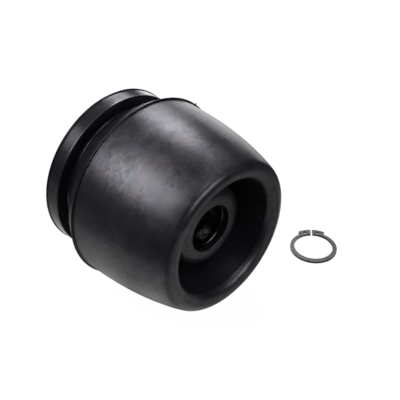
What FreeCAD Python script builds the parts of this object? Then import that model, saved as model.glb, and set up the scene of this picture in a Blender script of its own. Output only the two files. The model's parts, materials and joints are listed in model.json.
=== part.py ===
import FreeCAD, Part

import math
import os

# Driveshaft boot with a sealed bearing in its hub, and the retaining ring of the shaft.
# Millimetres. +X runs along the boot's axis from the flange to the nose, +Z is up, and
# the origin is the centre of the flange's rear face. Every round outline is drawn as
# (x, radius) and turned about the X axis.

# Flange and the groove that the retaining plate drops into
flange_radius = 47.5
flange_width = 9.1
groove_width = 10.7
neck_radius = 39.5
neck_bore_radius = 36.0
groove_rear_fillet = 1.5
groove_front_fillet = 3.0

# Shoulder between the groove and the rim, and the rim that stands over the barrel
shoulder_length = 8.8
shoulder_slope = 33.0
shoulder_round = 1.5
rim_radius = 53.9
rim_width = 0.6
rim_step = 1.1

# Barrel outline from the rim to the nose
waist_x = 42.0
waist_radius = 52.6
belly_x = 58.0
belly_radius = 51.4
taper_x = 76.0
taper_radius = 48.3
wall = 3.0

# Nose roll, mouth and the wall that runs back into the boot
boot_length = 92.6
roll_radius = 5.8
roll_entry_angle = 20.0
mouth_radius = 33.5
fold_depth = 30.6
fold_gap = 6.6

# Hub boss
hub_rubber = 1.8
hub_recess = 13.0
hub_shoulder_round = 7.0
hub_mouth_radius = 13.7
hub_mouth_round = 0.6

# Planes that part the moulding into its still, leaning and sliding stretches
base_end_x = 34.0
barrel_end_x = 80.0
web_end_x = 72.0

# Steel support ring moulded into the flange
support_ring_wall = 1.4
support_ring_length = 12.0
support_ring_inset = 0.8
support_flange_radius = 44.0
support_flange_x = 3.6

# Deep-groove ball bearing for a 25 mm shaft
bearing_bore_radius = 12.5
bearing_outer_radius = 21.0
bearing_width = 12.0
bearing_chamfer = 0.5
bearing_set_back = 3.6
ball_share = 0.3
land_share = 0.22
ball_count = 11
race_clearance = 0.1

# Riveted steel cage
cage_thickness = 0.7
cage_land_clearance = 0.45
pocket_clearance = 0.15
rivet_radius = 0.5
rivet_head_radius = 0.95
rivet_head_height = 0.4

# Bearing seals: a rubber lip on a steel washer
seal_thickness = 1.3
seal_inset = 0.4
seal_seat_depth = 0.8
seal_lip_clearance = 0.25
seal_washer_thickness = 0.4
seal_washer_margin = 0.7

# Steel sleeve bonded into the hub
sleeve_wall = 1.2
sleeve_front_lip = 4.0
sleeve_crimp = 1.5
sleeve_corner_round = 2.0
hub_face_clearance = 0.4

# Oil seal behind the bearing
oil_seal_width = 6.0
oil_seal_gap = 0.4
oil_case_thickness = 1.0
oil_case_inner_radius = 15.5
oil_bond_thickness = 1.1
oil_lip_clearance = 0.1
oil_lip_thickness = 1.0
garter_radius = 0.7

# External retaining ring for the shaft, lying beside the boot
ring_inner_radius = 11.6
ring_thickness = 1.2
ring_section_far = 3.0
ring_section_near = 1.9
ring_lug_height = 4.4
ring_lug_half_angle = 31.0
ring_lug_round = 0.9
ring_gap = 1.1
ring_hole_radius = 0.95
ring_hole_angle = 16.0
ring_centre_x = 88.7
ring_centre_y = 82.2
ring_gap_direction = 135.0

# Places that follow from the sizes above
groove_end_x = flange_width + groove_width
rim_x = groove_end_x + shoulder_length
barrel_x = rim_x + rim_width
barrel_radius = rim_radius - rim_step
roll_centre = (boot_length - roll_radius, mouth_radius + roll_radius)
hub_face_x = boot_length - hub_recess
sleeve_outer_radius = bearing_outer_radius + sleeve_wall
hub_radius = sleeve_outer_radius + hub_rubber
fold_radius = fold_gap / 2
fold_centre = (boot_length - fold_depth + fold_radius, hub_radius + fold_radius)
bearing_section = bearing_outer_radius - bearing_bore_radius
pitch_radius = bearing_bore_radius + bearing_section / 2
ball_radius = bearing_section * ball_share
inner_land_radius = pitch_radius - bearing_section * land_share
outer_land_radius = pitch_radius + bearing_section * land_share
bearing_front_x = hub_face_x - bearing_set_back
bearing_rear_x = bearing_front_x - bearing_width
ball_x = bearing_front_x - bearing_width / 2
sleeve_front_x = bearing_front_x + sleeve_wall
sleeve_lip_radius = bearing_outer_radius - sleeve_front_lip
oil_seal_front_x = bearing_rear_x - oil_seal_gap
oil_seal_rear_x = oil_seal_front_x - oil_seal_width
sleeve_rear_x = oil_seal_rear_x - sleeve_wall
sleeve_corner = (sleeve_front_x - sleeve_corner_round, sleeve_outer_radius - sleeve_corner_round)
cavity_rear_x = fold_centre[0] - fold_radius - wall
ring_bottom_z = -rim_radius
BEYOND = 10.0

AXIS = FreeCAD.Vector(1, 0, 0)
ORIGIN = FreeCAD.Vector(0, 0, 0)


def at(point):
    """A point (x, radius) of an outline, in the plane that is turned about the axis."""
    return FreeCAD.Vector(point[0], point[1], 0)


def line(a, b):
    return Part.makeLine(at(a), at(b))


def arc(centre, radius, start, end):
    """An arc round centre, from one angle to another, in degrees from +X towards +radius."""
    angles = (start, (start + end) / 2, end)
    return Part.Arc(*[at(on_circle(centre, radius, angle)) for angle in angles]).toShape()


def on_circle(centre, radius, angle):
    turn = math.radians(angle)
    return (centre[0] + radius * math.cos(turn), centre[1] + radius * math.sin(turn))


def revolve(edges):
    """The solid that a closed outline makes when it is turned about the axis."""
    face = Part.Face(Part.Wire(Part.__sortEdges__(edges)))
    solid = face.revolve(ORIGIN, AXIS, 360)
    if solid.Volume < 0:
        solid.reverse()
    return solid


def revolve_points(points):
    closed = points + points[:1]
    return revolve([line(a, b) for a, b in zip(closed, closed[1:])])


def tube(x_start, x_end, r_inner, r_outer):
    corners = [(x_start, r_inner), (x_end, r_inner), (x_end, r_outer), (x_start, r_outer)]
    return revolve_points(corners)


def disc(x_start, x_end, radius):
    return Part.makeCylinder(radius, x_end - x_start, at((x_start, 0)), AXIS)


def about_axis(angle, radius, x):
    """A point on a circle about the axis, with angle 0 at the top."""
    turn = math.radians(angle)
    return FreeCAD.Vector(x, radius * math.sin(turn), radius * math.cos(turn))


def ball_places():
    step = 360.0 / ball_count
    return [about_axis(step * n, pitch_radius, ball_x) for n in range(ball_count)]


def fuse(solids):
    return solids[0].multiFuse(solids[1:]).removeSplitter()


# The rubber moulding

def recess_wall_angle():
    """Slope, in degrees, of the straight wall that touches both the nose roll and the fold."""
    run = roll_centre[0] - fold_centre[0]
    rise = roll_centre[1] - fold_centre[1]
    centres = math.degrees(math.atan2(rise, run))
    reach = math.hypot(run, rise)
    return centres - math.degrees(math.asin((roll_radius + fold_radius) / reach))


def barrel_curve(offset):
    """The barrel's outline from the rim to the nose roll, moved inwards by offset."""
    entry = 90.0 - roll_entry_angle
    points = [
        (barrel_x, barrel_radius - offset),
        (waist_x, waist_radius - offset),
        (belly_x, belly_radius - offset),
        (taper_x, taper_radius - offset),
        on_circle(roll_centre, roll_radius - offset, entry),
    ]
    curve = Part.BSplineCurve()
    arrive = FreeCAD.Vector(
        math.cos(math.radians(roll_entry_angle)), -math.sin(math.radians(roll_entry_angle)), 0
    )
    curve.interpolate(Points=[at(p) for p in points], InitialTangent=AXIS, FinalTangent=arrive)
    return curve.toShape(), points[0]


def nose_edges(offset):
    """The nose roll, the recess wall and the fold, moved into the rubber by offset."""
    slope = recess_wall_angle()
    entry = 90.0 - roll_entry_angle
    leave = slope - 90.0
    roll_end = on_circle(roll_centre, roll_radius - offset, leave)
    fold_start = on_circle(fold_centre, fold_radius + offset, slope + 90.0)
    edges = [
        arc(roll_centre, roll_radius - offset, entry, leave),
        line(roll_end, fold_start),
    ]
    return edges, slope + 90.0


def shoulder_radius(x, offset):
    """Radius of the sloping shoulder at x, moved into the rubber by offset."""
    slope = math.radians(shoulder_slope)
    return rim_radius - (rim_x - x) * math.tan(slope) - offset / math.cos(slope)


def outside_edges():
    """The outline that shows: flange, groove, rim, barrel, nose, recess and boss."""
    rear, front = groove_rear_fillet, groove_front_fillet
    rear_centre = (flange_width + rear, neck_radius + rear)
    front_centre = (groove_end_x - front, neck_radius + front)
    edge_x = groove_end_x + shoulder_round
    edge_centre = (edge_x, shoulder_radius(edge_x, shoulder_round))
    slope_start = on_circle(edge_centre, shoulder_round, 90 + shoulder_slope)
    barrel, barrel_start = barrel_curve(0.0)
    nose, fold_angle = nose_edges(0.0)
    boss_centre = (hub_face_x - hub_shoulder_round, hub_radius - hub_shoulder_round)
    rim_hole_centre = (hub_face_x - hub_mouth_round, hub_mouth_radius + hub_mouth_round)
    return [
        line((0, neck_bore_radius), (0, flange_radius)),
        line((0, flange_radius), (flange_width, flange_radius)),
        line((flange_width, flange_radius), (flange_width, rear_centre[1])),
        arc(rear_centre, rear, 180, 270),
        line((rear_centre[0], neck_radius), (front_centre[0], neck_radius)),
        arc(front_centre, front, 270, 360),
        line((groove_end_x, front_centre[1]), (groove_end_x, edge_centre[1])),
        arc(edge_centre, shoulder_round, 180, 90 + shoulder_slope),
        line(slope_start, (rim_x, rim_radius)),
        line((rim_x, rim_radius), (barrel_x, rim_radius)),
        line((barrel_x, rim_radius), barrel_start),
        barrel,
        *nose,
        arc(fold_centre, fold_radius, fold_angle, 270),
        line((fold_centre[0], hub_radius), (boss_centre[0], hub_radius)),
        arc(boss_centre, hub_shoulder_round, 90, 0),
        line((hub_face_x, boss_centre[1]), (hub_face_x, rim_hole_centre[1])),
        arc(rim_hole_centre, hub_mouth_round, 0, -90),
    ]


def inside_edges():
    """The outline inside the boot, from the boss's mouth back to the flange's bore."""
    lip_x = bearing_front_x + hub_face_clearance
    bore_round = neck_radius - neck_bore_radius
    front_x = groove_end_x + wall
    bore_centre = (front_x - bore_round, neck_bore_radius + bore_round)
    front_corner = (front_x, shoulder_radius(front_x, wall))
    barrel, barrel_start = barrel_curve(wall)
    rise = (barrel_start[1] - front_corner[1]) / math.tan(math.radians(shoulder_slope))
    barrel_corner = (front_x + rise, barrel_start[1])
    nose, fold_angle = nose_edges(wall)
    return [
        line((hub_face_x - hub_mouth_round, hub_mouth_radius), (lip_x, hub_mouth_radius)),
        line((lip_x, hub_mouth_radius), (lip_x, sleeve_lip_radius)),
        line((lip_x, sleeve_lip_radius), (sleeve_front_x, sleeve_lip_radius)),
        line((sleeve_front_x, sleeve_lip_radius), (sleeve_front_x, sleeve_corner[1])),
        arc(sleeve_corner, sleeve_corner_round, 0, 90),
        line((sleeve_corner[0], sleeve_outer_radius), (cavity_rear_x, sleeve_outer_radius)),
        line((cavity_rear_x, sleeve_outer_radius), (cavity_rear_x, fold_centre[1])),
        arc(fold_centre, fold_radius + wall, 180, fold_angle),
        *nose,
        barrel,
        line(barrel_start, barrel_corner),
        line(barrel_corner, front_corner),
        line(front_corner, (front_x, bore_centre[1])),
        arc(bore_centre, bore_round, 0, -90),
        line((bore_centre[0], neck_bore_radius), (0, neck_bore_radius)),
    ]


def moulding():
    """The whole rubber boot, with room for the two steel parts moulded into it."""
    return revolve(outside_edges() + inside_edges()).cut(support_ring())


def parted_moulding():
    """The boot parted into base, barrel, nose and hub, which meet face to face."""
    whole = moulding()
    clear_of_fold = fold_centre[1] + fold_radius + 2 * wall
    clear_of_boss = hub_radius + fold_radius
    web_tool = disc(rim_x, web_end_x, clear_of_fold)
    boss_tool = disc(rim_x, boot_length, clear_of_boss)
    hub_tool = web_tool.fuse(boss_tool)
    base_tool = disc(-BEYOND, base_end_x, rim_radius + BEYOND)
    barrel_tool = disc(base_end_x, barrel_end_x, rim_radius + BEYOND).cut(
        disc(base_end_x, barrel_end_x, clear_of_fold)
    )
    hub = whole.common(hub_tool)
    base = whole.common(base_tool)
    barrel = whole.common(barrel_tool)
    nose = whole.cut(base_tool).cut(barrel_tool).cut(hub_tool)
    return {"boot_base": base, "boot_barrel": barrel, "boot_nose": nose, "boot_hub": hub}


# Steel in the moulding

def support_ring():
    """An L-shaped ring that lines the flange's bore and stiffens the flange."""
    start = support_ring_inset
    end = start + support_ring_length
    outer = neck_bore_radius + support_ring_wall
    flange_end = support_flange_x + support_ring_wall
    return revolve_points([
        (start, neck_bore_radius),
        (end, neck_bore_radius),
        (end, outer),
        (flange_end, outer),
        (flange_end, support_flange_radius),
        (support_flange_x, support_flange_radius),
        (support_flange_x, outer),
        (start, outer),
    ])


def hub_sleeve():
    """A cup that holds the bearing and the oil seal, with its rear edge turned inwards."""
    crimp_radius = bearing_outer_radius - sleeve_crimp
    corners = [
        (sleeve_corner[0], sleeve_outer_radius),
        (sleeve_rear_x, sleeve_outer_radius),
        (sleeve_rear_x, crimp_radius),
        (oil_seal_rear_x, crimp_radius),
        (oil_seal_rear_x, bearing_outer_radius),
        (bearing_front_x, bearing_outer_radius),
        (bearing_front_x, sleeve_lip_radius),
        (sleeve_front_x, sleeve_lip_radius),
        (sleeve_front_x, sleeve_corner[1]),
    ]
    edges = [line(a, b) for a, b in zip(corners, corners[1:])]
    return revolve(edges + [arc(sleeve_corner, sleeve_corner_round, 0, 90)])


# The ball bearing

def race_groove():
    centre = FreeCAD.Vector(ball_x, 0, 0)
    return Part.makeTorus(pitch_radius, ball_radius + race_clearance, centre, AXIS)


def bearing_inner_ring():
    c = bearing_chamfer
    blank = revolve_points([
        (bearing_rear_x, bearing_bore_radius + c),
        (bearing_rear_x + c, bearing_bore_radius),
        (bearing_front_x - c, bearing_bore_radius),
        (bearing_front_x, bearing_bore_radius + c),
        (bearing_front_x, inner_land_radius),
        (bearing_rear_x, inner_land_radius),
    ])
    return blank.cut(race_groove())


def bearing_outer_ring():
    c = bearing_chamfer
    seat_radius = outer_land_radius + seal_seat_depth
    seat_depth = seal_inset + seal_thickness
    blank = revolve_points([
        (bearing_rear_x, seat_radius),
        (bearing_rear_x + seat_depth, seat_radius),
        (bearing_rear_x + seat_depth, outer_land_radius),
        (bearing_front_x - seat_depth, outer_land_radius),
        (bearing_front_x - seat_depth, seat_radius),
        (bearing_front_x, seat_radius),
        (bearing_front_x, bearing_outer_radius - c),
        (bearing_front_x - c, bearing_outer_radius),
        (bearing_rear_x + c, bearing_outer_radius),
        (bearing_rear_x, bearing_outer_radius - c),
    ])
    return blank.cut(race_groove())


def bearing_balls():
    return Part.makeCompound([Part.makeSphere(ball_radius, place, AXIS) for place in ball_places()])


def rivet_places():
    step = 360.0 / ball_count
    return [about_axis(step * (n + 0.5), pitch_radius, ball_x) for n in range(ball_count)]


def cage_front_half():
    """A pressed ring: flat between the balls and cupped over each of them."""
    inner = inner_land_radius + cage_land_clearance
    outer = outer_land_radius - cage_land_clearance
    pocket = ball_radius + pocket_clearance
    cup = pocket + cage_thickness
    band = tube(ball_x, ball_x + cup, inner, outer)
    cups = fuse([Part.makeSphere(cup, place, AXIS) for place in ball_places()]).common(band)
    flat = tube(ball_x, ball_x + cage_thickness, inner, outer)
    pockets = Part.makeCompound([Part.makeSphere(pocket, place, AXIS) for place in ball_places()])
    holes = Part.makeCompound([
        Part.makeCylinder(rivet_radius, cage_thickness, place, AXIS) for place in rivet_places()
    ])
    return flat.fuse(cups).cut(pockets).cut(holes)


def cage_rear_half():
    return cage_front_half().mirror(FreeCAD.Vector(ball_x, 0, 0), AXIS)


def cage_rivets():
    """Rivets through both halves, with a head outside each of them."""
    rivets = []
    for place in rivet_places():
        shank_start = place - AXIS * cage_thickness
        shank = Part.makeCylinder(rivet_radius, 2 * cage_thickness, shank_start, AXIS)
        front = Part.makeCylinder(
            rivet_head_radius, rivet_head_height, place + AXIS * cage_thickness, AXIS
        )
        rear = Part.makeCylinder(
            rivet_head_radius, rivet_head_height, shank_start - AXIS * rivet_head_height, AXIS
        )
        rivets.append(fuse([shank, front, rear]))
    return Part.makeCompound(rivets)


def front_seal_washer():
    """The steel washer that backs the seal's rubber, on the side of the balls."""
    inner_x = bearing_front_x - seal_inset - seal_thickness
    inner = inner_land_radius + seal_lip_clearance + seal_washer_margin
    outer = outer_land_radius + seal_seat_depth - seal_washer_margin
    return tube(inner_x, inner_x + seal_washer_thickness, inner, outer)


def front_seal_lip():
    inner_x = bearing_front_x - seal_inset - seal_thickness
    inner = inner_land_radius + seal_lip_clearance
    outer = outer_land_radius + seal_seat_depth
    return tube(inner_x, inner_x + seal_thickness, inner, outer).cut(front_seal_washer())


def to_rear(front_piece):
    """The rear copy of a piece of the bearing's front."""
    return front_piece.mirror(FreeCAD.Vector(ball_x, 0, 0), AXIS)


# The oil seal

def oil_seal_case():
    """A steel shell, L-shaped in section, with its closed end against the bearing."""
    case_inner = bearing_outer_radius - oil_case_thickness
    flange_x = oil_seal_front_x - oil_case_thickness
    return revolve_points([
        (oil_seal_rear_x, case_inner),
        (flange_x, case_inner),
        (flange_x, oil_case_inner_radius),
        (oil_seal_front_x, oil_case_inner_radius),
        (oil_seal_front_x, bearing_outer_radius),
        (oil_seal_rear_x, bearing_outer_radius),
    ])


def garter_centre():
    lip_radius = bearing_bore_radius + oil_lip_clearance
    x = oil_seal_rear_x + garter_radius + oil_lip_thickness
    return (x, lip_radius + oil_lip_thickness + garter_radius)


def oil_seal_spring():
    """The closed coil spring that keeps the lip on the shaft, drawn as a round ring."""
    x, radius = garter_centre()
    return Part.makeTorus(radius, garter_radius, FreeCAD.Vector(x, 0, 0), AXIS)


def oil_seal_lip():
    """Rubber bonded behind the shell's flange, running back and inwards to a lip."""
    lip_radius = bearing_bore_radius + oil_lip_clearance
    flange_x = oil_seal_front_x - oil_case_thickness
    bond_x = flange_x - oil_bond_thickness
    spring_x, spring_radius = garter_centre()
    case_inner = bearing_outer_radius - oil_case_thickness
    body = revolve_points([
        (flange_x, case_inner),
        (bond_x, case_inner),
        (bond_x, oil_case_inner_radius),
        (spring_x + garter_radius + oil_lip_thickness / 2, spring_radius),
        (oil_seal_rear_x, spring_radius),
        (oil_seal_rear_x, lip_radius + oil_lip_thickness),
        (spring_x, lip_radius),
        (bond_x, lip_radius + oil_lip_thickness),
        (oil_seal_front_x, lip_radius + oil_lip_thickness),
        (oil_seal_front_x, oil_case_inner_radius),
        (flange_x, oil_case_inner_radius),
    ])
    return body.cut(oil_seal_spring())


# The retaining ring

def lug(side):
    """One lug of the retaining ring, on the side of the gap that side gives as +1 or -1."""
    outer = ring_inner_radius + ring_lug_height
    start = ring_inner_radius + ring_section_near / 2
    far = side * ring_lug_half_angle
    plane_turns = [math.radians(a) for a in (0.0, far / 2, far)]

    def place(radius, turn):
        return FreeCAD.Vector(radius * math.cos(turn), radius * math.sin(turn), 0)

    edges = [
        Part.makeLine(place(start, plane_turns[0]), place(outer, plane_turns[0])),
        Part.Arc(*[place(outer, turn) for turn in plane_turns]).toShape(),
        Part.makeLine(place(outer, plane_turns[2]), place(start, plane_turns[2])),
        Part.Arc(*[place(start, turn) for turn in reversed(plane_turns)]).toShape(),
    ]
    solid = Part.Face(Part.Wire(edges)).extrude(FreeCAD.Vector(0, 0, ring_thickness))
    corner = place(outer, plane_turns[2])
    upright = [
        edge for edge in solid.Edges
        if all(math.hypot(v.X - corner.x, v.Y - corner.y) < 1e-6 for v in edge.Vertexes)
    ]
    return solid.makeFillet(ring_lug_round, upright)


def circlip():
    """An eccentric open ring with a drilled lug on each side of its gap."""
    outer = ring_inner_radius + (ring_section_far + ring_section_near) / 2
    offset = (ring_section_far - ring_section_near) / 2
    body = Part.makeCylinder(outer, ring_thickness, FreeCAD.Vector(-offset, 0, 0))
    body = fuse([body, lug(1), lug(-1)])
    body = body.cut(Part.makeCylinder(ring_inner_radius, ring_thickness))
    slot = Part.makeBox(
        ring_inner_radius + ring_lug_height, ring_gap, ring_thickness,
        FreeCAD.Vector(0, -ring_gap / 2, 0),
    )
    body = body.cut(slot)
    hole_reach = ring_inner_radius + ring_lug_height / 2
    for side in (1, -1):
        turn = math.radians(side * ring_hole_angle)
        centre = FreeCAD.Vector(hole_reach * math.cos(turn), hole_reach * math.sin(turn), 0)
        body = body.cut(Part.makeCylinder(ring_hole_radius, ring_thickness, centre))
    body.rotate(ORIGIN, FreeCAD.Vector(0, 0, 1), ring_gap_direction)
    body.translate(FreeCAD.Vector(ring_centre_x, ring_centre_y, ring_bottom_z))
    return body


def all_nodes():
    nodes = parted_moulding()
    nodes["flange_support_ring"] = support_ring()
    nodes["hub_sleeve"] = hub_sleeve()
    nodes["bearing_outer_ring"] = bearing_outer_ring()
    nodes["bearing_inner_ring"] = bearing_inner_ring()
    nodes["bearing_balls"] = bearing_balls()
    nodes["cage_front_half"] = cage_front_half()
    nodes["cage_rear_half"] = cage_rear_half()
    nodes["cage_rivets"] = cage_rivets()
    nodes["front_seal_washer"] = front_seal_washer()
    nodes["front_seal_lip"] = front_seal_lip()
    nodes["rear_seal_washer"] = to_rear(front_seal_washer())
    nodes["rear_seal_lip"] = to_rear(front_seal_lip())
    nodes["oil_seal_case"] = oil_seal_case()
    nodes["oil_seal_lip"] = oil_seal_lip()
    nodes["oil_seal_spring"] = oil_seal_spring()
    nodes["circlip"] = circlip()
    return nodes


def main():
    os.makedirs("parts", exist_ok=True)
    for name, shape in all_nodes().items():
        shape.exportStep("parts/" + name + ".step")
        box = shape.BoundBox
        print("%-20s valid %s solids %d volume %.1f  x %.2f..%.2f  y %.2f..%.2f  z %.2f..%.2f" % (
            name, shape.isValid(), len(shape.Solids), shape.Volume,
            box.XMin, box.XMax, box.YMin, box.YMax, box.ZMin, box.ZMax,
        ))


main()
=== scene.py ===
import json
import math

import bpy
from mathutils import Matrix, Vector, noise


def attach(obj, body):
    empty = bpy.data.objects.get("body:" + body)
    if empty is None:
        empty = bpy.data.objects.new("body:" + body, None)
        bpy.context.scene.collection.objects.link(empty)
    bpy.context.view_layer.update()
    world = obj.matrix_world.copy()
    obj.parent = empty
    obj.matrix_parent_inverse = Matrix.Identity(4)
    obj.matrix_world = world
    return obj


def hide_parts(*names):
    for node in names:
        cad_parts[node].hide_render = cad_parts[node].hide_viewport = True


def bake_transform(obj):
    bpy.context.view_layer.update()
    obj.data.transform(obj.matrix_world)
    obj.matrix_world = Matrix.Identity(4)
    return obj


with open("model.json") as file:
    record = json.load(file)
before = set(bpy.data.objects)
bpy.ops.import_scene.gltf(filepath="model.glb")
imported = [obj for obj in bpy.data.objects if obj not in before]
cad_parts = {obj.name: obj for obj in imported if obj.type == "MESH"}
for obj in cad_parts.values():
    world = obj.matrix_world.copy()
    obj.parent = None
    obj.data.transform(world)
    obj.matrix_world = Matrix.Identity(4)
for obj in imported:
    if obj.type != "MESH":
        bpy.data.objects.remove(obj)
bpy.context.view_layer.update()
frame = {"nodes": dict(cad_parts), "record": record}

# Driveshaft boot with a bearing in its hub. Metres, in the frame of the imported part: +X along
# the boot's axis towards the nose, origin at the centre of the flange's rear face.
MM = 0.001
TURN_STEPS = 240
CRISP_ANGLE = math.radians(28.0)

# How far moulded rubber stands off its true circle, and how close its waves are
UNEVEN_HEIGHT = 0.10 * MM
WAVES_ALONG = 22.0
WAVES_ROUND = 1.3

# Flange and groove
FLANGE_RADIUS = 47.5 * MM
FLANGE_BAND = 47.1 * MM
FLANGE_WIDTH = 9.1 * MM
GROOVE_END = 19.8 * MM
NECK_RADIUS = 39.5 * MM
NECK_BORE = 36.0 * MM
REAR_FILLET = 1.5 * MM
FRONT_FILLET = 3.0 * MM
EDGE_ROUND = 0.35 * MM
LIP_WIDTH = 0.5 * MM

# Shoulder, rim and barrel
SHOULDER_SLOPE = math.radians(33.0)
SHOULDER_ROUND = 1.5 * MM
RIM_RADIUS = 53.9 * MM
RIM_X = 28.6 * MM
BARREL_X = 29.2 * MM
BARREL_RADIUS = 52.8 * MM
BARREL_POINTS = [(42.0 * MM, 52.6 * MM), (58.0 * MM, 51.4 * MM), (76.0 * MM, 48.3 * MM)]
WALL = 3.0 * MM

# Nose roll, recess and hub boss
LENGTH = 92.6 * MM
ROLL = 5.8 * MM
ROLL_ENTRY = math.radians(20.0)
MOUTH_RADIUS = 33.5 * MM
ROLL_CENTRE = (LENGTH - ROLL, MOUTH_RADIUS + ROLL)
HUB_RADIUS = 24.0 * MM
HUB_FACE = 79.6 * MM
HUB_ROUND = 7.0 * MM
HUB_MOUTH = 13.7 * MM
HUB_MOUTH_ROUND = 0.6 * MM
FOLD = 3.3 * MM
FOLD_CENTRE = (65.3 * MM, HUB_RADIUS + FOLD)

# Where the visible rubber is parted: between the bodies and where the bending starts and ends
BASE_END = 34.0 * MM
BARREL_SPLIT = 57.0 * MM
WALL_SPLIT = 88.0 * MM
WEB_SPLIT = 67.0 * MM

# Points of an outline closer than this are one
SAME_POINT = 1e-7


def on_circle(centre, radius, angle):
    """The point (x, radius) that lies on a circle at an angle."""
    return (centre[0] + radius * math.cos(angle), centre[1] + radius * math.sin(angle))


def arc(centre, radius, start, end, step=math.radians(5.0)):
    """Points (x, radius) along an arc round centre, both ends included."""
    count = max(2, round(abs(end - start) / step))
    turns = [start + (end - start) * n / count for n in range(count + 1)]
    return [on_circle(centre, radius, turn) for turn in turns]


def straight(a, b, step=1.2 * MM):
    """Points from a to b, both ends included, about a step apart."""
    count = max(1, round(math.dist(a, b) / step))
    return [tuple(p + (q - p) * n / count for p, q in zip(a, b)) for n in range(count + 1)]


def joined(*stretches):
    """One outline from several, without the points that neighbours share."""
    outline = []
    for stretch in stretches:
        for point in stretch:
            if not outline or math.dist(outline[-1], point) > SAME_POINT:
                outline.append(point)
    return outline


def recess_slope():
    """Angle of the straight wall that touches both the nose roll and the fold."""
    run = ROLL_CENTRE[0] - FOLD_CENTRE[0]
    rise = ROLL_CENTRE[1] - FOLD_CENTRE[1]
    return math.atan2(rise, run) - math.asin((ROLL + FOLD) / math.hypot(run, rise))


def barrel(offset, start, end, step=1.0 * MM):
    """The barrel's outline from one x to another, offset inwards from the outside."""
    entry = on_circle(ROLL_CENTRE, ROLL - offset, math.pi / 2 - ROLL_ENTRY)
    knots = [(BARREL_X, BARREL_RADIUS - offset)]
    knots += [(x, r - offset) for x, r in BARREL_POINTS] + [entry]
    slopes = [0.0]
    for before, here, after in zip(knots, knots[1:], knots[2:]):
        left = (here[1] - before[1]) / (here[0] - before[0])
        right = (after[1] - here[1]) / (after[0] - here[0])
        share = (here[0] - before[0]) / (after[0] - before[0])
        slopes.append(left * (1 - share) + right * share)
    slopes.append(-math.tan(ROLL_ENTRY))

    def radius(x):
        n = max(k for k in range(len(knots) - 1) if knots[k][0] <= x or k == 0)
        (x0, r0), (x1, r1) = knots[n], knots[n + 1]
        t, span = (x - x0) / (x1 - x0), x1 - x0
        return (
            (2 * t**3 - 3 * t**2 + 1) * r0 + (t**3 - 2 * t**2 + t) * span * slopes[n]
            + (3 * t**2 - 2 * t**3) * r1 + (t**3 - t**2) * span * slopes[n + 1]
        )

    end = min(end, entry[0])
    count = max(1, round((end - start) / step))
    xs = [start + (end - start) * n / count for n in range(count + 1)]
    return [(x, radius(x)) for x in xs]


def roll(offset):
    """The nose roll from the barrel's end round to the recess wall."""
    return arc(ROLL_CENTRE, ROLL - offset, math.pi / 2 - ROLL_ENTRY, recess_slope() - math.pi / 2)


def wall_point(offset, x):
    """The point of the straight recess wall at x, offset towards the cavity."""
    slope = recess_slope()
    foot = on_circle(FOLD_CENTRE, FOLD + offset, slope + math.pi / 2)
    return (x, foot[1] + (x - foot[0]) * math.tan(slope))


def recess_wall(offset, start, end):
    """The straight recess wall from one x to another."""
    return straight(wall_point(offset, start), wall_point(offset, end))


def shoulder_radius(x, offset=0.0):
    """Radius of the sloping shoulder at x, offset inwards from the outside."""
    return RIM_RADIUS - (RIM_X - x) * math.tan(SHOULDER_SLOPE) - offset / math.cos(SHOULDER_SLOPE)


def rim_outline():
    """Shoulder, the thin rim that stands up at its top, and the start of the barrel."""
    edge_x = GROOVE_END + SHOULDER_ROUND
    edge_centre = (edge_x, shoulder_radius(edge_x, SHOULDER_ROUND))
    shoulder = arc(edge_centre, SHOULDER_ROUND, math.pi, math.pi / 2 + SHOULDER_SLOPE)
    return joined(
        shoulder,
        straight(shoulder[-1], (RIM_X - 0.15 * MM, RIM_RADIUS - 0.12 * MM)),
        [(RIM_X, RIM_RADIUS), (RIM_X + 0.25 * MM, RIM_RADIUS), (RIM_X + 0.45 * MM, RIM_RADIUS - 0.2 * MM)],
        [(BARREL_X - 0.05 * MM, BARREL_RADIUS), (BARREL_X + 0.2 * MM, BARREL_RADIUS - 0.08 * MM)],
        [p for p in barrel(0.0, BARREL_X, BASE_END, 0.5 * MM) if p[0] > BARREL_X + 0.6 * MM],
    )


def flange_outline():
    """The flange's rear face, its edge with a lip at the back, and the groove."""
    front = FLANGE_WIDTH - EDGE_ROUND
    rear_centre = (FLANGE_WIDTH + REAR_FILLET, NECK_RADIUS + REAR_FILLET)
    front_centre = (GROOVE_END - FRONT_FILLET, NECK_RADIUS + FRONT_FILLET)
    wall_top = shoulder_radius(GROOVE_END + SHOULDER_ROUND, SHOULDER_ROUND)
    return joined(
        straight((0.0, NECK_BORE), (0.0, FLANGE_RADIUS)),
        [(LIP_WIDTH, FLANGE_RADIUS), (LIP_WIDTH + 0.2 * MM, FLANGE_BAND - 0.15 * MM)],
        straight((LIP_WIDTH + 0.5 * MM, FLANGE_BAND), (front, FLANGE_BAND)),
        arc((front, FLANGE_BAND - EDGE_ROUND), EDGE_ROUND, math.pi / 2, 0.0, math.radians(15.0)),
        straight((FLANGE_WIDTH, FLANGE_BAND - EDGE_ROUND), (FLANGE_WIDTH, rear_centre[1])),
        arc(rear_centre, REAR_FILLET, math.pi, 1.5 * math.pi),
        straight((rear_centre[0], NECK_RADIUS), (front_centre[0], NECK_RADIUS)),
        arc(front_centre, FRONT_FILLET, 1.5 * math.pi, 2 * math.pi),
        straight((GROOVE_END, front_centre[1]), (GROOVE_END, wall_top)),
    )


# Where the support ring sits in the neck
SUPPORT_START = 0.8 * MM
SUPPORT_END = 12.8 * MM
SUPPORT_WALL = 1.4 * MM


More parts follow.
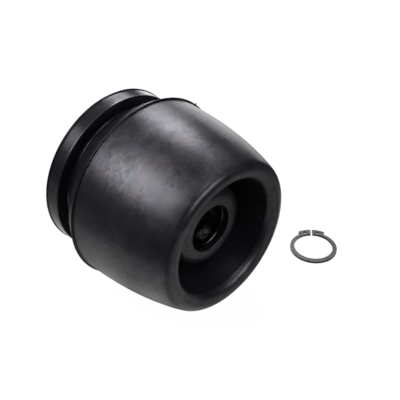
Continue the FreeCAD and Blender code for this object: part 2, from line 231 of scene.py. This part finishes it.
def base_inside():
    """The cavity side of the base, and round the support ring's room to the rear face."""
    bore_round = NECK_RADIUS - NECK_BORE
    front_x = GROOVE_END + WALL
    front_corner = (front_x, shoulder_radius(front_x, WALL))
    level = BARREL_RADIUS - WALL
    barrel_corner = (front_x + (level - front_corner[1]) / math.tan(SHOULDER_SLOPE), level)
    return joined(
        reversed(barrel(WALL, BARREL_X, BASE_END)),
        straight(barrel_corner, front_corner),
        straight(front_corner, (front_x, NECK_BORE + bore_round)),
        arc((front_x - bore_round, NECK_BORE + bore_round), bore_round, 0.0, -math.pi / 2),
        straight((front_x - bore_round, NECK_BORE), (SUPPORT_END, NECK_BORE)),
        [(SUPPORT_END, NECK_BORE + SUPPORT_WALL), (SUPPORT_START, NECK_BORE + SUPPORT_WALL)],
        [(SUPPORT_START, NECK_BORE)],
    )


# The sleeve's room in the hub
SLEEVE_OUTER = 22.2 * MM
SLEEVE_FRONT = 77.2 * MM
SLEEVE_LIP = 17.0 * MM
SLEEVE_ROUND = 2.0 * MM
LIP_BACK = 76.4 * MM
CAVITY_REAR = 59.0 * MM


def hub_outline():
    """The fold, the boss and its mouth, and round the sleeve back to the cavity side."""
    slope = recess_slope()
    boss_centre = (HUB_FACE - HUB_ROUND, HUB_RADIUS - HUB_ROUND)
    mouth_centre = (HUB_FACE - HUB_MOUTH_ROUND, HUB_MOUTH + HUB_MOUTH_ROUND)
    sleeve_corner = (SLEEVE_FRONT - SLEEVE_ROUND, SLEEVE_OUTER - SLEEVE_ROUND)
    return joined(
        recess_wall(0.0, WEB_SPLIT, FOLD_CENTRE[0]),
        arc(FOLD_CENTRE, FOLD, slope + math.pi / 2, 1.5 * math.pi),
        straight((FOLD_CENTRE[0], HUB_RADIUS), (boss_centre[0], HUB_RADIUS)),
        arc(boss_centre, HUB_ROUND, math.pi / 2, 0.0),
        straight((HUB_FACE, boss_centre[1]), (HUB_FACE, mouth_centre[1])),
        arc(mouth_centre, HUB_MOUTH_ROUND, 0.0, -math.pi / 2, math.radians(10.0)),
        straight((mouth_centre[0], HUB_MOUTH), (LIP_BACK, HUB_MOUTH)),
        [(LIP_BACK, SLEEVE_LIP), (SLEEVE_FRONT, SLEEVE_LIP)],
        arc(sleeve_corner, SLEEVE_ROUND, 0.0, math.pi / 2, math.radians(15.0)),
        straight((sleeve_corner[0], SLEEVE_OUTER), (CAVITY_REAR, SLEEVE_OUTER)),
        straight((CAVITY_REAR, SLEEVE_OUTER), (CAVITY_REAR, FOLD_CENTRE[1])),
        arc(FOLD_CENTRE, FOLD + WALL, math.pi, slope + math.pi / 2),
        recess_wall(WALL, FOLD_CENTRE[0], WEB_SPLIT),
    )


def add_mesh(name, points, faces, material):
    """A new object of one mesh and one material, linked to the scene."""
    mesh = bpy.data.meshes.new(name)
    mesh.from_pydata(points, [], faces)
    mesh.update()
    piece = bpy.data.objects.new(name, mesh)
    bpy.context.scene.collection.objects.link(piece)
    mesh.materials.append(material)
    return piece


def unevenness(x, turn):
    """How far moulded rubber stands off its true circle at a place: long low waves."""
    place = Vector((x * WAVES_ALONG, math.cos(turn) * WAVES_ROUND, math.sin(turn) * WAVES_ROUND))
    return noise.noise(place) * UNEVEN_HEIGHT


def lathe(name, outline, material):
    """A closed outline of (x, radius) turned about the boot's axis, a little uneven and smooth."""
    points, faces = [], []
    for n in range(TURN_STEPS):
        turn = 2 * math.pi * n / TURN_STEPS
        for x, r in outline:
            reach = r + unevenness(x, turn)
            points.append((x, reach * math.sin(turn), reach * math.cos(turn)))
    count = len(outline)
    for n in range(TURN_STEPS):
        here, there = n * count, (n + 1) % TURN_STEPS * count
        for k in range(count):
            after = (k + 1) % count
            faces.append((here + k, here + after, there + after, there + k))
    piece = add_mesh(name, points, faces, material)
    piece.data.shade_smooth()
    piece.data.set_sharp_from_angle(angle=CRISP_ANGLE)
    return piece


# Materials: small helpers for nodes, then one function for each finish

class Nodes:
    """A new node material with its principled shader and output joined."""

    def __init__(self, name, colour, roughness, metallic=0.0):
        self.material = bpy.data.materials.new(name)
        self.material.use_nodes = True
        self.tree = self.material.node_tree
        self.shader = self.tree.nodes["Principled BSDF"]
        self.shader.inputs["Base Color"].default_value = (*colour, 1.0)
        self.shader.inputs["Roughness"].default_value = roughness
        self.shader.inputs["Metallic"].default_value = metallic
        self.place = self.add("ShaderNodeTexCoord").outputs["Object"]

    def add(self, kind, **settings):
        node = self.tree.nodes.new(kind)
        for key, value in settings.items():
            setattr(node, key, value)
        return node

    def link(self, source, target):
        self.tree.links.new(source, target)

    def split(self, vector):
        node = self.add("ShaderNodeSeparateXYZ")
        self.link(vector, node.inputs[0])
        return node.outputs

    def together(self, x, y, z):
        node = self.add("ShaderNodeCombineXYZ")
        for source, socket in zip((x, y, z), node.inputs):
            self.link(source, socket)
        return node.outputs[0]

    def scaled(self, scale, place=None):
        mapping = self.add("ShaderNodeMapping")
        mapping.inputs["Scale"].default_value = scale
        self.link(place or self.place, mapping.inputs["Vector"])
        return mapping.outputs["Vector"]

    def round_axis(self):
        """The place as distance along the boot's axis, turn about it and distance from it."""
        x, y, z = self.split(self.place)
        squares = self.math("ADD", self.product(y, y), self.product(z, z))
        return x, self.math("ARCTAN2", y, z), self.math("POWER", squares, 0.5)

    def noise(self, scale, detail, roughness=0.5, distortion=0.0, place=None):
        node = self.add("ShaderNodeTexNoise")
        node.inputs["Scale"].default_value = scale
        node.inputs["Detail"].default_value = detail
        node.inputs["Roughness"].default_value = roughness
        node.inputs["Distortion"].default_value = distortion
        self.link(place or self.place, node.inputs["Vector"])
        return node.outputs["Fac"]

    def ramp(self, source, low, high, out_low=0.0, out_high=1.0):
        node = self.add("ShaderNodeMapRange")
        node.inputs["From Min"].default_value = low
        node.inputs["From Max"].default_value = high
        node.inputs["To Min"].default_value = out_low
        node.inputs["To Max"].default_value = out_high
        self.link(source, node.inputs["Value"])
        return node.outputs["Result"]

    def math(self, operation, *values):
        node = self.add("ShaderNodeMath", operation=operation)
        for socket, value in zip(node.inputs, values):
            if isinstance(value, (int, float)):
                socket.default_value = value
            else:
                self.link(value, socket)
        return node.outputs[0]

    def product(self, first, *others):
        for other in others:
            first = self.math("MULTIPLY", first, other)
        return first

    def band(self, source, outer_low, low, high, outer_high):
        """One between low and high, and nothing beyond the two outer values."""
        return self.product(self.ramp(source, outer_low, low), self.ramp(source, outer_high, high))

    def mix(self, factor, a, b):
        node = self.add("ShaderNodeMix", data_type="RGBA")
        for key, value in (("Factor", factor), ("A", a), ("B", b)):
            socket = next(s for s in node.inputs if s.name == key and s.enabled)
            if isinstance(value, tuple):
                socket.default_value = (*value, 1.0)
            elif isinstance(value, (int, float)):
                socket.default_value = value
            else:
                self.link(value, socket)
        return next(s for s in node.outputs if s.enabled)

    def bump(self, height, distance, strength, under=None):
        node = self.add("ShaderNodeBump")
        node.inputs["Distance"].default_value = distance
        node.inputs["Strength"].default_value = strength
        self.link(height, node.inputs["Height"])
        if under is not None:
            self.link(under, node.inputs["Normal"])
        return node.outputs["Normal"]

    def finish(self, colour, roughness, normal):
        for key, source in (("Base Color", colour), ("Roughness", roughness), ("Normal", normal)):
            self.link(source, self.shader.inputs[key])
        return self.material


# Rubber: its two blacks, dust, and the two hues of its shine
PLAIN_BLACK = (0.0070, 0.0070, 0.0090)
BLOOM_BLACK = (0.0130, 0.0125, 0.0165)
DUST = (0.22, 0.22, 0.22)
COOL_SHINE = (0.88, 0.92, 1.0)
WARM_SHINE = (1.0, 0.96, 0.975)
DUST_CELLS = 95.0

# Radius at which the scuffs are wrapped round the boot, the shoulder's dull stretch, the share of
# gloss left there, the gloss elsewhere, and the smoother stretch behind the rim
WRAP_RADIUS = 50.0 * MM
DULL_START = (21.2 * MM, 22.4 * MM)
DULL_END = (27.4 * MM, 28.4 * MM)
DULL_GLOSS = 0.4
FULL_GLOSS = 0.5
BEHIND_RIM = (RIM_X, RIM_X + 1.0 * MM)


def boot_gloss(n, cloud, patch, scuff, scratch, worn):
    """Cloudy, scuffed and scratched, and low on the shoulder, which the flange shelters."""
    along = n.split(n.place)["X"]
    clouded = n.product(n.ramp(cloud, 0.3, 0.7, 0.85, 1.15), n.ramp(patch, 0.3, 0.7, 0.82, 1.18))
    scuffed = n.math("ADD", 1.0, n.product(worn, n.ramp(scuff, 0.3, 0.7, -0.36, 0.36)))
    kept = n.math("SUBTRACT", 1.0, n.product(scratch, 0.4))
    before = n.ramp(along, *DULL_START, 1.0, DULL_GLOSS)
    sheltered = n.math("MAXIMUM", before, n.ramp(along, *DULL_END))
    return n.product(clouded, scuffed, kept, FULL_GLOSS, sheltered)


def boot_roughness(n, cloud, patch):
    """Satin where the boot is handled, and smoother behind the rim."""
    along = n.split(n.place)["X"]
    handled = n.math("ADD", n.ramp(cloud, 0.3, 0.7, 0.30, 0.36), n.ramp(patch, 0.35, 0.65, -0.02, 0.02))
    return n.math("SUBTRACT", handled, n.ramp(along, *BEHIND_RIM, 0.10, 0.0))


def boot_colour(n, cloud):
    """Nearly black, with a faint bloom and a few specks of dust."""
    bloom = n.mix(n.ramp(cloud, 0.35, 0.75), PLAIN_BLACK, BLOOM_BLACK)
    cells = n.add("ShaderNodeTexVoronoi")
    cells.inputs["Scale"].default_value = DUST_CELLS
    n.link(n.place, cells.inputs["Vector"])
    speck = n.ramp(cells.outputs["Distance"], 0.030, 0.022)
    picked = n.ramp(n.noise(60.0, 0.0), 0.60, 0.62)
    return n.mix(n.product(speck, picked), bloom, DUST)


def boot_rubber():
    """Black moulded rubber: satin, with cloudy gloss, scuffs that run round it, scratches and dust."""
    n = Nodes("boot_rubber", (0.010, 0.010, 0.013), 0.40)
    along, turn, reach = n.round_axis()
    wrapped = n.together(along, n.product(turn, WRAP_RADIUS), reach)
    cloud = n.noise(38.0, 4.0, 0.6)
    patch = n.noise(120.0, 3.0, 0.55, 0.6)
    crinkle = n.noise(210.0, 2.0, 0.6, 1.5)
    grain = n.noise(2600.0, 2.0, 0.6)
    scuff = n.noise(1.0, 3.0, 0.65, 1.2, n.scaled((330.0, 190.0, 190.0), wrapped))
    stroke = n.noise(1.0, 1.0, 0.5, 0.2, n.scaled((520.0, 90.0, 100.0), wrapped))
    scratch = n.ramp(stroke, 0.705, 0.745)
    worn = n.ramp(n.noise(70.0, 2.0), 0.40, 0.58)
    hue = n.ramp(n.noise(85.0, 2.0, 0.5, 0.8), 0.40, 0.60)

    lumps = n.math("ADD", patch, n.product(crinkle, worn, 0.5))
    pores = n.math("ADD", grain, n.product(scuff, 0.8))
    bumps = n.bump(pores, 0.015 * MM, 0.4, n.bump(lumps, 0.20 * MM, 0.3))
    n.link(n.mix(hue, COOL_SHINE, WARM_SHINE), n.shader.inputs["Specular Tint"])
    gloss = boot_gloss(n, cloud, patch, scuff, scratch, worn)
    n.link(gloss, n.shader.inputs["Specular IOR Level"])
    return n.finish(boot_colour(n, cloud), boot_roughness(n, cloud, patch), bumps)


# How finely steel is marked: evenly, or by turning, with fine rings about the axis
EVEN_MARKS = (900.0, 900.0, 900.0)
TURNED_MARKS = (9000.0, 300.0, 300.0)
STEEL_DARKER = 0.75


def steel(name, colour, roughness, marking):
    """Bare steel with fine tool marks and slightly clouded colour."""
    n = Nodes(name, colour, roughness, 1.0)
    marks = n.noise(1.0, 3.0, 0.6, 0.0, n.scaled(marking))
    cloud = n.noise(160.0, 3.0, 0.6)
    darker = tuple(c * STEEL_DARKER for c in colour)
    tint = n.mix(n.ramp(cloud, 0.35, 0.65), darker, colour)
    rough = n.ramp(marks, 0.3, 0.7, roughness - 0.06, roughness + 0.08)
    return n.finish(tint, rough, n.bump(marks, 0.01 * MM, 0.5))


# Bearing: its colours, the radii of a darker band in the chamfer and where a painted highlight lies low in
# the bore
BEARING_STEEL = (0.075, 0.075, 0.080)
CHAMFER_DARK_STEEL = (0.012, 0.012, 0.012)
BORE_PAINTED_HIGHLIGHT = (0.22, 0.22, 0.21)
CHAMFER_BAND = (12.50 * MM, 12.60 * MM, 13.02 * MM, 13.10 * MM)
BORE_HIGHLIGHT_ALONG = (66.0 * MM, 68.0 * MM, 71.0 * MM, 73.0 * MM)
BORE_HIGHLIGHT_TURN = (2.35, 2.65, 2.90, 3.10)


def bearing_steel():
    """Oiled bearing steel, with a darker band in the chamfer and a painted highlight, a pale patch, low in
    the bore.
    """
    n = Nodes("bearing_steel", (0.07, 0.07, 0.075), 0.26, 1.0)
    marks = n.noise(1.0, 3.0, 0.6, 0.0, n.scaled(TURNED_MARKS))
    along, turn, reach = n.round_axis()
    broken = n.ramp(n.noise(500.0, 2.0), 0.35, 0.55, 0.70, 1.0)
    # A darker band across the chamfer, broken by noise, which dims the glint there
    chamfer_darkening = n.product(n.band(reach, *CHAMFER_BAND), broken)
    # Painted highlight: a pale, less metallic, rougher patch low in the bore that stands in for the light
    # the bore reflects there
    highlight_streaks = n.ramp(n.noise(700.0, 3.0, 0.6, 0.8), 0.38, 0.62)
    bore_highlight = n.product(n.band(turn, *BORE_HIGHLIGHT_TURN), n.band(along, *BORE_HIGHLIGHT_ALONG), highlight_streaks)
    tint = n.mix(bore_highlight, n.mix(chamfer_darkening, BEARING_STEEL, CHAMFER_DARK_STEEL), BORE_PAINTED_HIGHLIGHT)
    n.link(n.ramp(bore_highlight, 0.0, 0.6, 1.0, 0.0), n.shader.inputs["Metallic"])
    rough = n.math("ADD", n.ramp(marks, 0.3, 0.7, 0.20, 0.34), n.product(bore_highlight, 0.15))
    return n.finish(tint, rough, n.bump(marks, 0.01 * MM, 0.5))


# Circlip: the painted shade of its edges and the two shades of its clouded faces
CLIP_EDGE_PAINTED_SHADE = (0.014, 0.014, 0.016)
CLIP_SHADES = ((0.064, 0.064, 0.069), (0.088, 0.088, 0.094))


def circlip_steel():
    """Phosphated spring steel, matt, with painted shade on its edges, which are coloured darker than its
    faces.
    """
    n = Nodes("circlip_steel", (0.080, 0.080, 0.085), 0.42, 1.0)
    cloud = n.noise(260.0, 3.0, 0.6)
    grain = n.noise(5000.0, 2.0)
    upright = n.split(n.add("ShaderNodeTexCoord").outputs["Normal"])["Z"]
    flat = n.ramp(n.math("ABSOLUTE", upright), 0.5, 0.8)
    # Painted shade: the edges, found by their normals, take the darker colour
    tint = n.mix(flat, CLIP_EDGE_PAINTED_SHADE, n.mix(n.ramp(cloud, 0.35, 0.65), *CLIP_SHADES))
    return n.finish(tint, n.ramp(cloud, 0.3, 0.7, 0.38, 0.46), n.bump(grain, 0.004 * MM, 0.4))


def seal_rubber():
    """Oiled black rubber of the seals' lips."""
    n = Nodes("seal_rubber", (0.010, 0.010, 0.011), 0.35)
    grain = n.noise(1800.0, 2.0)
    cloud = n.noise(120.0, 3.0)
    tint = n.mix(n.ramp(cloud, 0.3, 0.7), (0.008, 0.008, 0.009), (0.016, 0.015, 0.015))
    return n.finish(tint, n.ramp(cloud, 0.3, 0.7, 0.3, 0.42), n.bump(grain, 0.01 * MM, 0.4))


# The plain steels: colour, roughness and marks
STEELS = {
    "support_steel": ((0.30, 0.30, 0.31), 0.38, TURNED_MARKS),
    "sleeve_steel": ((0.20, 0.20, 0.21), 0.42, TURNED_MARKS),
    "ball_steel": ((0.75, 0.75, 0.76), 0.12, EVEN_MARKS),
    "cage_steel": ((0.45, 0.43, 0.40), 0.35, EVEN_MARKS),
    "seal_steel": ((0.35, 0.35, 0.36), 0.35, TURNED_MARKS),
    "spring_steel": ((0.40, 0.40, 0.42), 0.30, EVEN_MARKS),
}


def make_materials():
    """Every finish by the name of its slot."""
    materials = {name: steel(name, *look) for name, look in STEELS.items()}
    materials["boot_rubber"] = boot_rubber()
    materials["seal_rubber"] = seal_rubber()
    materials["bearing_steel"] = bearing_steel()
    materials["circlip_steel"] = circlip_steel()
    return materials


def make_rubber(materials):
    """The moulding in five stretches; the base and the hub are attached to their bodies."""
    rubber = materials["boot_rubber"]
    base = lathe("boot_base_rubber", joined(flange_outline(), rim_outline(), base_inside()), rubber)
    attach(base, "base")
    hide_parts("boot_base")

    rear = joined(
        barrel(0.0, BASE_END, BARREL_SPLIT), reversed(barrel(WALL, BASE_END, BARREL_SPLIT))
    )
    barrel_rear = lathe("barrel_rear_rubber", rear, rubber)
    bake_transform(barrel_rear)
    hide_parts("boot_barrel")

    front = joined(
        barrel(0.0, BARREL_SPLIT, LENGTH), roll(0.0),
        [wall_point(0.0, WALL_SPLIT), wall_point(WALL, WALL_SPLIT)],
        reversed(roll(WALL)), reversed(barrel(WALL, BARREL_SPLIT, LENGTH)),
    )
    barrel_front = lathe("barrel_front_rubber", front, rubber)
    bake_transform(barrel_front)
    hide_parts("boot_nose")

    inner = joined(
        recess_wall(0.0, WALL_SPLIT, WEB_SPLIT), reversed(recess_wall(WALL, WALL_SPLIT, WEB_SPLIT))
    )
    recess = lathe("recess_wall_rubber", inner, rubber)
    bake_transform(recess)

    hub = lathe("hub_rubber", hub_outline(), rubber)
    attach(hub, "hub")
    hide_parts("boot_hub")


# Two small spikes of flash that the mould left, on the rim and on the flange's rear lip
FLASH_HALF_WIDTH = 0.55 * MM
FLASH_ROOT = 0.4 * MM
RIM_FLASH_TURN = math.radians(44.0)
FLANGE_FLASH_TURN = math.radians(-96.0)
RIM_FLASH_HEIGHT = 1.2 * MM
FLANGE_FLASH_HEIGHT = 0.6 * MM


def flash(name, x, radius, turn, height, material):
    """A four-sided spike on an edge at x, leaning a little to one side."""
    out = Vector((0.0, math.sin(turn), math.cos(turn)))
    way = Vector((0.0, math.cos(turn), -math.sin(turn))) * FLASH_HALF_WIDTH
    side = Vector((FLASH_HALF_WIDTH / 2, 0.0, 0.0))
    foot = Vector((x, 0.0, 0.0)) + out * (radius - FLASH_ROOT)
    points = [foot - way - side, foot + way - side, foot + way + side, foot - way + side]
    points.append(foot + out * (height + FLASH_ROOT) + way / 2)
    faces = [(0, 1, 2, 3), (1, 0, 4), (2, 1, 4), (3, 2, 4), (0, 3, 4)]
    spike = add_mesh(name, points, faces, material)
    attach(spike, "base")


def make_flash(materials):
    rubber = materials["boot_rubber"]
    rim_edge = RIM_X + 0.3 * MM
    flash("rim_flash", rim_edge, RIM_RADIUS, RIM_FLASH_TURN, RIM_FLASH_HEIGHT, rubber)
    flash("flange_flash", LIP_WIDTH / 2, FLANGE_RADIUS, FLANGE_FLASH_TURN, FLANGE_FLASH_HEIGHT, rubber)


def dress_cad_nodes(materials):
    """Every CAD node gets the finish of its slot; the steel and seal parts keep their CAD shape."""
    slots = {row["node"]: row["material_slot"] for row in frame["record"]["subparts"]}
    for name, node in frame["nodes"].items():
        node.data.materials.clear()
        node.data.materials.append(materials[slots[name]])


# Camera: a 90 mm lens on a 36 mm frame, found by fitting the circles of the boot and the ring
CAMERA_PLACE = Vector((360.065, -306.77, 329.11)) * MM
CAMERA_FORWARD = Vector((-0.549911, 0.582713, -0.598368))
CAMERA_RIGHT = Vector((0.710453, 0.703029, 0.031717))
LENS_MM = 90.0
SENSOR_MM = 36.0


def make_camera():
    data = bpy.data.cameras.new("camera")
    data.lens, data.sensor_width = LENS_MM, SENSOR_MM
    data.clip_start, data.clip_end = 0.01, 20.0
    camera = bpy.data.objects.new("camera", data)
    bpy.context.scene.collection.objects.link(camera)
    back = -CAMERA_FORWARD.normalized()
    up = back.cross(CAMERA_RIGHT).normalized()
    right = up.cross(back)
    turn = Matrix((right, up, back)).transposed().to_4x4()
    camera.matrix_world = Matrix.Translation(CAMERA_PLACE) @ turn
    bpy.context.scene.camera = camera


FLOOR_Z = -RIM_RADIUS
LIGHT_TARGET = Vector((50.0, 0.0, 0.0)) * MM
LAMP_COLOUR = (0.985, 0.955, 1.0)
LAMP_DISTANCE = 0.9

# Lamps: name, azimuth (0 along +X, 90 along +Y), elevation, width, height and strength
LAMPS = [
    ("softbox_left", -117.0, 45.5, 0.46, 0.47, 6.7),
    ("softbox_left_high", -138.0, 66.0, 0.34, 0.24, 0.8),
    ("softbox_left_rear", -150.0, 35.0, 0.24, 0.24, 0.45),
    ("softbox_back", 133.0, 47.5, 0.28, 0.37, 3.5),
    ("softbox_back_low", 140.0, 27.0, 0.40, 0.22, 1.0),
    ("softbox_side", 120.0, 8.0, 0.30, 0.22, 0.45),
    ("softbox_front", 4.0, 32.0, 0.60, 0.24, 3.2),
    ("softbox_top", 0.0, 72.0, 0.30, 0.30, 0.8),
]


def softbox(name, azimuth, elevation, width, height, strength):
    """An area lamp that faces the boot."""
    data = bpy.data.lights.new(name, "AREA")
    data.shape = "RECTANGLE"
    data.size, data.size_y = width, height
    data.energy = strength
    data.color = LAMP_COLOUR
    lamp = bpy.data.objects.new(name, data)
    bpy.context.scene.collection.objects.link(lamp)
    a, e = math.radians(azimuth), math.radians(elevation)
    way = Vector((math.cos(a) * math.cos(e), math.sin(a) * math.cos(e), math.sin(e)))
    lamp.location = LIGHT_TARGET + way * LAMP_DISTANCE
    lamp.rotation_mode = "QUATERNION"
    lamp.rotation_quaternion = way.to_track_quat("Z", "Y")


class World(Nodes):
    """The same node helpers over the world's tree, with the view direction as the place."""

    def __init__(self, name):
        self.world = bpy.data.worlds.new(name)
        self.world.use_nodes = True
        self.tree = self.world.node_tree
        self.background = self.tree.nodes["Background"]
        self.background.inputs["Color"].default_value = (1.0, 1.0, 1.0, 1.0)
        self.place = self.add("ShaderNodeTexCoord").outputs["Generated"]


# Strength of what reflections see beyond the lamps, low down and overhead, and where it rises
WORLD_DIM = 0.025
CEILING = 0.26
CEILING_RISE = (0.45, 0.9)


def make_world():
    """White where the camera sees it; in reflections dark, with a dim ceiling."""
    n = World("studio")
    dim = n.ramp(n.split(n.place)["Z"], *CEILING_RISE, WORLD_DIM, CEILING)
    path = n.add("ShaderNodeLightPath")
    n.link(n.math("MAXIMUM", path.outputs["Is Camera Ray"], dim), n.background.inputs["Strength"])
    bpy.context.scene.world = n.world


# Patches of lit floor round the boot, as reflections see them: azimuth, the distances at which
# a patch starts, is full, starts to fade and ends, and its strength
FLOOR_CENTRE = (0.05, 0.0, FLOOR_Z)
NEAR = (0.02, 0.045, 0.12, 0.16)
MIDDLE = (0.12, 0.16, 0.30, 0.40)
FAR = (0.30, 0.40, 1.20, 1.60)
FLOOR_GLOWS = [
    (90.0, NEAR, 1.15), (180.0, NEAR, 0.84), (-90.0, NEAR, 0.60), (-45.0, NEAR, 0.46),
    (0.0, NEAR, 0.36), (45.0, NEAR, 0.16), (-135.0, NEAR, 0.36),
    (0.0, MIDDLE, 0.64), (45.0, MIDDLE, 0.18), (135.0, MIDDLE, 0.80), (-135.0, MIDDLE, 0.20),
    (135.0, FAR, 2.30),
]
SECTOR_EDGE = math.cos(math.radians(45.0))
SECTOR_FULL = math.cos(math.radians(5.0))

# To the camera the floor glows white, and a small lit share of it takes the shadow
WHITE_GLOW = 1.02
WHITE_SHARE = 0.96
FLOOR_HALF = 3.0


class Floor(Nodes):
    """The floor's nodes, with the way from the boot split into distance and direction."""

    def __init__(self):
        super().__init__("floor", (0.8, 0.8, 0.8), 0.9)
        away = self.vector_math("SUBTRACT", self.place, FLOOR_CENTRE).outputs["Vector"]
        self.distance = self.vector_math("LENGTH", away).outputs["Value"]
        self.direction = self.vector_math("NORMALIZE", away).outputs["Vector"]

    def vector_math(self, operation, a, b=None):
        node = self.add("ShaderNodeVectorMath", operation=operation)
        self.link(a, node.inputs[0])
        if b is not None:
            node.inputs[1].default_value = b
        return node

    def glow(self, azimuth, reach, strength):
        """A patch 45 degrees to each side of azimuth, between the four distances of reach."""
        turn = math.radians(azimuth)
        side = self.vector_math("DOT_PRODUCT", self.direction, (math.cos(turn), math.sin(turn), 0.0))
        sector = self.ramp(side.outputs["Value"], SECTOR_EDGE, SECTOR_FULL)
        sector.node.interpolation_type = "SMOOTHSTEP"
        begins = self.ramp(self.distance, *reach[:2])
        ends = self.ramp(self.distance, *reach[2:], 1.0, 0.0)
        return self.product(sector, begins, ends, strength)


def make_floor():
    """White to the camera with a faint shadow, and softly lit patches in reflections."""
    n = Floor()
    light = WORLD_DIM
    for patch in FLOOR_GLOWS:
        light = n.math("ADD", light, n.glow(*patch))
    glow, white = n.add("ShaderNodeEmission"), n.add("ShaderNodeEmission")
    n.link(light, glow.inputs["Strength"])
    path = n.add("ShaderNodeLightPath")
    seen, both = n.add("ShaderNodeMixShader"), n.add("ShaderNodeMixShader")
    seen.inputs["Fac"].default_value = WHITE_SHARE
    white.inputs["Strength"].default_value = WHITE_GLOW
    n.link(n.shader.outputs["BSDF"], seen.inputs[1])
    n.link(white.outputs["Emission"], seen.inputs[2])
    seen_by = n.math("MAXIMUM", path.outputs["Is Camera Ray"], path.outputs["Is Transmission Ray"])
    n.link(seen_by, both.inputs["Fac"])
    n.link(glow.outputs["Emission"], both.inputs[1])
    n.link(seen.outputs["Shader"], both.inputs[2])
    n.link(both.outputs["Shader"], n.tree.nodes["Material Output"].inputs["Surface"])
    corners = [(x * FLOOR_HALF, y * FLOOR_HALF, FLOOR_Z) for x, y in ((-1, -1), (1, -1), (1, 1), (-1, 1))]
    floor = add_mesh("floor", corners, [(0, 1, 2, 3)], n.material)


make_camera()
made_materials = make_materials()
dress_cad_nodes(made_materials)
make_rubber(made_materials)
make_flash(made_materials)
for lamp in LAMPS:
    softbox(*lamp)
make_world()
make_floor()
bpy.context.scene.view_settings.view_transform = "Standard"
